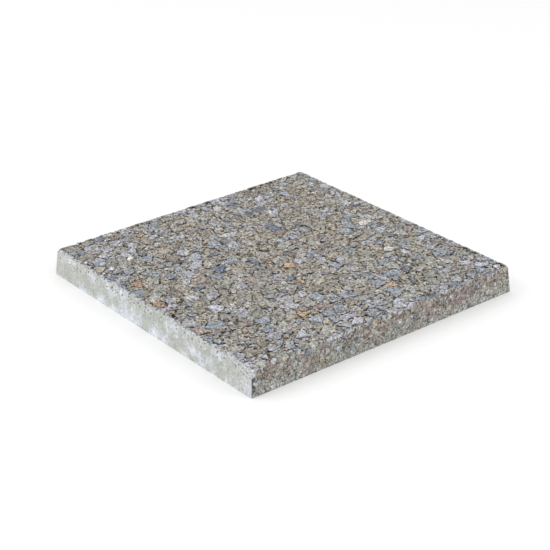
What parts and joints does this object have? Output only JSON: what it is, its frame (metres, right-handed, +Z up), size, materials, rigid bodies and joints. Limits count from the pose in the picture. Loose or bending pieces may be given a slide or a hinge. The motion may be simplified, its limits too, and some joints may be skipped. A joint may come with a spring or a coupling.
{
  "type": "concrete paver",
  "caption": "Square exposed-aggregate concrete paving slab with drafted moulded sides, laid flat on its bed face.",
  "frame": {"origin": "centre of the bed face, at the height the slab rests on", "axes": "+Z up, out of the walking face; X and Y square to the four sides"},
  "size_m": [0.4498, 0.4498, 0.038],
  "materials": {
    "exposed_aggregate_concrete": "washed exposed aggregate: crushed grey, blue-grey, tan and ochre stone in a sandy brown cement matrix, with moulded pale grey sides"
  },
  "bodies": {
    "root": {"paver": "exposed_aggregate_concrete"}
  },
  "joints": []
}
